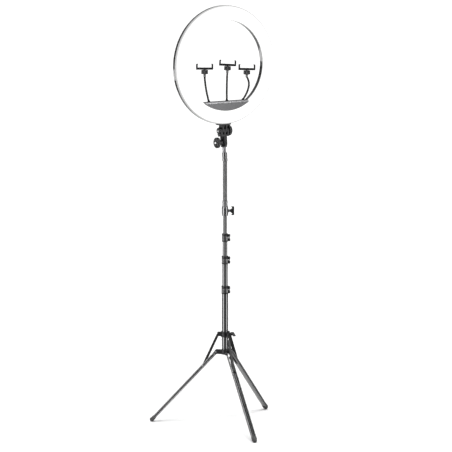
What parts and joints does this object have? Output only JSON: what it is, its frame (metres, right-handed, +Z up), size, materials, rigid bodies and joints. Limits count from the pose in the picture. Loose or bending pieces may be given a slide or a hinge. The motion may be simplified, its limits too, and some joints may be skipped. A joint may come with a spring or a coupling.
{
  "type": "ring light",
  "caption": "Ring lamp on a folding three-legged telescoping stand, with a gooseneck, a tilt head and sprung phone holders inside the ring.",
  "frame": {"origin": "on the pole's axis at floor level, the centre of the circle through the three feet", "axes": "+Z up along the pole, the lamp's face towards -Y, +X to the lamp's right-hand side seen from the front"},
  "size_m": [0.5358, 0.5333, 1.733],
  "materials": {
    "tube_paint": "gloss black",
    "leg_paint": "satin black",
    "black_plastic": "fine grain",
    "knob_plastic": "semi-gloss",
    "foot_rubber": "matt",
    "strut_paint": "satin",
    "rivet_steel": "satin",
    "spigot_steel": "satin",
    "hose": "satin",
    "ring_shell": "gloss",
    "opal": "opal, diffusing",
    "shelf_grey": "satin grey",
    "board_white": "solder mask",
    "board_green": "solder mask",
    "led_yellow": "phosphor",
    "control_grey": "matt"
  },
  "bodies": {
    "column": {"base_tube": "tube_paint", "leg_hub": "black_plastic", "hub_pins": "rivet_steel", "clamp_collar_1": "black_plastic"},
    "leg_collar": {"leg_collar": "black_plastic"},
    "collar_knob": {"collar_knob": "knob_plastic"},
    "tube_2": {"stand_tube_2": "tube_paint", "clamp_collar_2": "black_plastic"},
    "tube_3": {"stand_tube_3": "tube_paint", "clamp_collar_3": "black_plastic"},
    "tube_4": {"stand_tube_4": "tube_paint", "neck_socket": "black_plastic"},
    "neck_knob": {"neck_knob": "knob_plastic"},
    "neck_turn": {"lower_ferrule": "black_plastic", "gooseneck_lower": "hose"},
    "neck_top": {"gooseneck_upper": "hose", "upper_ferrule": "spigot_steel"},
    "head": {"head_socket": "black_plastic"},
    "socket_knob": {"socket_knob": "knob_plastic"},
    "tilt_knob": {"tilt_knob": "knob_plastic"},
    "ring": {"ring_bracket": "black_plastic", "rear_housing": "ring_shell", "diffuser": "opal", "led_board": "board_white", "led_chips": "led_yellow", "driver_board": "board_green", "control_cover": "black_plastic", "dc_inlet": "black_plastic", "housing_screws": "rivet_steel", "phone_shelf": "shelf_grey", "arm_base_1": "hose", "arm_base_2": "hose", "arm_base_3": "hose"},
    "dimmer_knob": {"dimmer_knob": "control_grey"},
    "power_button": {"power_button": "control_grey"},
    "leg_1": {"leg_1": "leg_paint", "foot_1": "foot_rubber"},
    "strut_1": {"strut_1": "strut_paint"},
    "clamp_lever_1": {"clamp_lever_1": "black_plastic"},
    "arm_top_1": {"arm_top_1": "hose"},
    "holder_nut_1": {"holder_nut_1": "black_plastic"},
    "holder_1": {"holder_cradle_1": "black_plastic"},
    "holder_jaw_1": {"holder_jaw_1": "black_plastic"},
    "leg_2": {"leg_2": "leg_paint", "foot_2": "foot_rubber"},
    "strut_2": {"strut_2": "strut_paint"},
    "clamp_lever_2": {"clamp_lever_2": "black_plastic"},
    "arm_top_2": {"arm_top_2": "hose"},
    "holder_nut_2": {"holder_nut_2": "black_plastic"},
    "holder_2": {"holder_cradle_2": "black_plastic"},
    "holder_jaw_2": {"holder_jaw_2": "black_plastic"},
    "leg_3": {"leg_3": "leg_paint", "foot_3": "foot_rubber"},
    "strut_3": {"strut_3": "strut_paint"},
    "clamp_lever_3": {"clamp_lever_3": "black_plastic"},
    "arm_top_3": {"arm_top_3": "hose"},
    "holder_nut_3": {"holder_nut_3": "black_plastic"},
    "holder_3": {"holder_cradle_3": "black_plastic"},
    "holder_jaw_3": {"holder_jaw_3": "black_plastic"}
  },
  "joints": [
    {"name": "leg_1_fold", "type": "hinge", "parent": "column", "child": "leg_1", "pos_m": [-0.02596, 0.02421, 0.308], "axis": [0.682, 0.7314, 0], "range_deg": [0, 137.6]},
    {"name": "leg_2_fold", "type": "hinge", "parent": "column", "child": "leg_2", "pos_m": [0.03291, 0.0133, 0.308], "axis": [0.3746, -0.9272, 0], "range_deg": [0, 137.6]},
    {"name": "leg_3_fold", "type": "hinge", "parent": "column", "child": "leg_3", "pos_m": [-0.00677, -0.03485, 0.308], "axis": [-0.9816, 0.1908, 0], "range_deg": [0, 137.6]},
    {"name": "collar_slide", "type": "slide", "parent": "column", "child": "leg_collar", "axis": [0, 0, 1], "range_m": [0, 0.15748]},
    {"name": "strut_1_swing", "type": "hinge", "parent": "leg_collar", "child": "strut_1", "pos_m": [-0.02267, 0.02114, 0.378], "axis": [-0.682, -0.7314, 0], "range_deg": [0, 22.95]},
    {"name": "strut_2_swing", "type": "hinge", "parent": "leg_collar", "child": "strut_2", "pos_m": [0.02874, 0.01161, 0.378], "axis": [-0.3746, 0.9272, 0], "range_deg": [0, 22.95]},
    {"name": "strut_3_swing", "type": "hinge", "parent": "leg_collar", "child": "strut_3", "pos_m": [-0.00592, -0.03043, 0.378], "axis": [0.9816, -0.1908, 0], "range_deg": [0, 22.95]},
    {"name": "collar_knob_turn", "type": "hinge", "parent": "leg_collar", "child": "collar_knob", "pos_m": [0, 0, 0.385], "axis": [0.6157, -0.788, 0], "continuous": true},
    {"name": "tube_2_slide", "type": "slide", "parent": "column", "child": "tube_2", "axis": [0, 0, 1], "range_m": [-0.089, 0.105]},
    {"name": "tube_3_slide", "type": "slide", "parent": "tube_2", "child": "tube_3", "axis": [0, 0, 1], "range_m": [-0.058, 0.125]},
    {"name": "tube_4_slide", "type": "slide", "parent": "tube_3", "child": "tube_4", "axis": [0, 0, 1], "range_m": [-0.072, 0.13]},
    {"name": "clamp_lever_1_flip", "type": "hinge", "parent": "column", "child": "clamp_lever_1", "pos_m": [0.01348, -0.01131, 0.5695], "axis": [0, 0, 1], "range_deg": [0, 100]},
    {"name": "clamp_lever_2_flip", "type": "hinge", "parent": "tube_2", "child": "clamp_lever_2", "pos_m": [0.01348, -0.01131, 0.6935], "axis": [0, 0, 1], "range_deg": [0, 100]},
    {"name": "clamp_lever_3_flip", "type": "hinge", "parent": "tube_3", "child": "clamp_lever_3", "pos_m": [0.01348, -0.01131, 0.7865], "axis": [0, 0, 1], "range_deg": [0, 100]},
    {"name": "neck_knob_turn", "type": "hinge", "parent": "tube_4", "child": "neck_knob", "pos_m": [0, 0, 0.898], "axis": [0.766, -0.6428, 0], "continuous": true},
    {"name": "neck_swivel", "type": "hinge", "parent": "tube_4", "child": "neck_turn", "pos_m": [0, 0, 0.916], "axis": [0, 0, 1], "range_deg": [-180, 180]},
    {"name": "gooseneck_bend", "type": "hinge", "parent": "neck_turn", "child": "neck_top", "pos_m": [0, 0, 1.021], "axis": [1, 0, 0], "range_deg": [-60, 60]},
    {"name": "head_swivel", "type": "hinge", "parent": "neck_top", "child": "head", "pos_m": [0, 0.00645, 1.15863], "axis": [0, 0.1132, 0.9936], "range_deg": [-180, 180]},
    {"name": "socket_knob_turn", "type": "hinge", "parent": "head", "child": "socket_knob", "pos_m": [-0.033, 0.0086, 1.17751], "axis": [-1, 0, 0], "continuous": true},
    {"name": "ring_tilt", "type": "hinge", "parent": "head", "child": "ring", "pos_m": [0, 0.01401, 1.225], "axis": [1, 0, 0], "range_deg": [-90, 90]},
    {"name": "tilt_knob_turn", "type": "hinge", "parent": "head", "child": "tilt_knob", "pos_m": [0.027, 0.01401, 1.225], "axis": [1, 0, 0], "continuous": true},
    {"name": "dimmer_turn", "type": "hinge", "parent": "ring", "child": "dimmer_knob", "pos_m": [-0.034, 0.04, 1.28476], "axis": [0, 1, 0], "range_deg": [-135, 135]},
    {"name": "power_button_press", "type": "slide", "parent": "ring", "child": "power_button", "axis": [0, -1, 0], "range_m": [0, 0.002], "stiffness_N_per_m": 400, "springref_m": -0.001},
    {"name": "arm_1_bend", "type": "hinge", "parent": "ring", "child": "arm_top_1", "pos_m": [-0.092, 0, 1.403], "axis": [1, 0, 0], "range_deg": [-50, 50]},
    {"name": "holder_1_swivel", "type": "hinge", "parent": "arm_top_1", "child": "holder_nut_1", "pos_m": [-0.098, 0, 1.466], "axis": [0, 0, 1], "range_deg": [-180, 180]},
    {"name": "holder_1_tilt", "type": "hinge", "parent": "holder_nut_1", "child": "holder_1", "pos_m": [-0.098, 0, 1.469], "axis": [0.829, -0.5592, 0], "range_deg": [-10, 10]},
    {"name": "holder_jaw_1_slide", "type": "slide", "parent": "holder_1", "child": "holder_jaw_1", "axis": [0.829, -0.5592, 0], "range_m": [0, 0.018], "stiffness_N_per_m": 150, "springref_m": -0.02},
    {"name": "arm_2_bend", "type": "hinge", "parent": "ring", "child": "arm_top_2", "pos_m": [0.009, 0, 1.407], "axis": [1, 0, 0], "range_deg": [-50, 50]},
    {"name": "holder_2_swivel", "type": "hinge", "parent": "arm_top_2", "child": "holder_nut_2", "pos_m": [0.01183, -0.00022, 1.47599], "axis": [0.0362, -0.0244, 0.999], "range_deg": [-180, 180]},
    {"name": "holder_2_tilt", "type": "hinge", "parent": "holder_nut_2", "child": "holder_2", "pos_m": [0.01193, -0.00029, 1.47899], "axis": [0.8282, -0.5587, -0.0436], "range_deg": [-10, 10]},
    {"name": "holder_jaw_2_slide", "type": "slide", "parent": "holder_2", "child": "holder_jaw_2", "axis": [0.8282, -0.5587, -0.0436], "range_m": [0, 0.018], "stiffness_N_per_m": 150, "springref_m": -0.02},
    {"name": "arm_3_bend", "type": "hinge", "parent": "ring", "child": "arm_top_3", "pos_m": [0.116, 0, 1.399], "axis": [1, 0, 0], "range_deg": [-50, 50]},
    {"name": "holder_3_swivel", "type": "hinge", "parent": "arm_top_3", "child": "holder_nut_3", "pos_m": [0.10663, -0.00009, 1.4545], "axis": [0.0145, -0.0098, 0.9998], "range_deg": [-180, 180]},
    {"name": "holder_3_tilt", "type": "hinge", "parent": "holder_nut_3", "child": "holder_3", "pos_m": [0.10667, -0.00012, 1.4575], "axis": [0.8289, -0.5591, -0.0175], "range_deg": [-10, 10]},
    {"name": "holder_jaw_3_slide", "type": "slide", "parent": "holder_3", "child": "holder_jaw_3", "axis": [0.8289, -0.5591, -0.0175], "range_m": [0, 0.018], "stiffness_N_per_m": 150, "springref_m": -0.02}
  ],
  "couplings": [
    {"joint": "leg_2_fold", "follows": "leg_1_fold", "ratio": 1},
    {"joint": "leg_3_fold", "follows": "leg_1_fold", "ratio": 1},
    {"joint": "collar_slide", "follows": "leg_1_fold", "m_per_rad": 0.065572},
    {"joint": "strut_1_swing", "follows": "leg_1_fold", "ratio": 0.16673},
    {"joint": "strut_2_swing", "follows": "leg_1_fold", "ratio": 0.16673},
    {"joint": "strut_3_swing", "follows": "leg_1_fold", "ratio": 0.16673}
  ]
}
